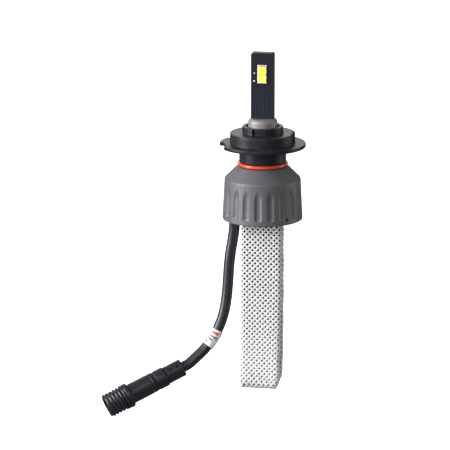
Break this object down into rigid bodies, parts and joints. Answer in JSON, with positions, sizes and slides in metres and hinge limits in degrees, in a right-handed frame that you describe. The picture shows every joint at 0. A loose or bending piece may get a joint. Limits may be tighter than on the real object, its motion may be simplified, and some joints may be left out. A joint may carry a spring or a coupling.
{
  "type": "headlight bulb",
  "caption": "LED headlight bulb with a flat two-sided emitter blade, removable flanged adapter collar, fluted housing, folded braid heat sink and a short cable with a screw-thread connector.",
  "frame": {"origin": "on the lamp axis, at the seat face (the upper face) of the socket flange", "axes": "+Z along the lamp axis to the tip of the emitter blade; the front LED package faces -Y; the flange's tab and the cable are on the -X side"},
  "size_m": [0.0753, 0.0464, 0.1399],
  "materials": {
    "grey_anodised": "satin grey anodised, fine cast grain",
    "spigot_grey": "satin turned, grey anodised",
    "black_anodised": "satin black anodised",
    "core_copper": "bare copper, dulled",
    "board_black": "black solder mask on a metal-core board",
    "package_white": "white ceramic substrate",
    "phosphor": "yellow phosphor layer",
    "solder": "solder, bright",
    "seal_red": "red silicone rubber",
    "tinned_braid": "woven tinned copper wire",
    "clamp_steel": "plain steel",
    "cable_black": "black rubber sheath",
    "plug_black": "moulded black nylon",
    "label_white": "white wrap label with plain bars",
    "lead_red": "red wire insulation",
    "lead_black": "black wire insulation",
    "contact_brass": "plated brass"
  },
  "bodies": {
    "housing": {"emitter_core": "core_copper", "front_led_board": "board_black", "front_led_package": "package_white", "front_phosphor_tile_upper": "phosphor", "front_solder_pad_upper": "solder", "front_phosphor_tile_lower": "phosphor", "front_solder_pad_lower": "solder", "rear_led_board": "board_black", "rear_led_package": "package_white", "rear_phosphor_tile_upper": "phosphor", "rear_solder_pad_upper": "solder", "rear_phosphor_tile_lower": "phosphor", "rear_solder_pad_lower": "solder", "spigot": "spigot_grey", "housing": "grey_anodised", "bottom_cover": "grey_anodised", "set_screw": "clamp_steel", "cable_grommet": "cable_black", "braid_root": "tinned_braid", "clamp_plate_front": "clamp_steel", "clamp_plate_rear": "clamp_steel", "clamp_screw_left": "clamp_steel", "clamp_screw_right": "clamp_steel", "lead_wire_positive": "lead_red", "lead_wire_negative": "lead_black", "cable": "cable_black", "cable_label": "label_white", "strain_relief": "cable_black", "connector_backshell": "plug_black", "connector_shell": "plug_black", "connector_insert": "plug_black", "contact_pin_positive": "contact_brass", "contact_pin_negative": "contact_brass", "connector_seal": "cable_black"},
    "seal": {"seal_ring": "seal_red"},
    "collar": {"adapter_collar": "black_anodised"},
    "braid": {"braid_strap": "tinned_braid"}
  },
  "joints": [
    {"name": "collar_lift", "type": "slide", "parent": "housing", "child": "seal", "axis": [0, 0, 1], "range_m": [0, 0.044]},
    {"name": "collar_twist", "type": "hinge", "parent": "seal", "child": "collar", "pos_m": [0, 0, 0], "axis": [0, 0, 1], "range_deg": [0, 30]},
    {"name": "braid_bend", "type": "hinge", "parent": "housing", "child": "braid", "pos_m": [0, 0, -0.0344], "axis": [1, 0, 0], "range_deg": [-60, 60]}
  ]
}
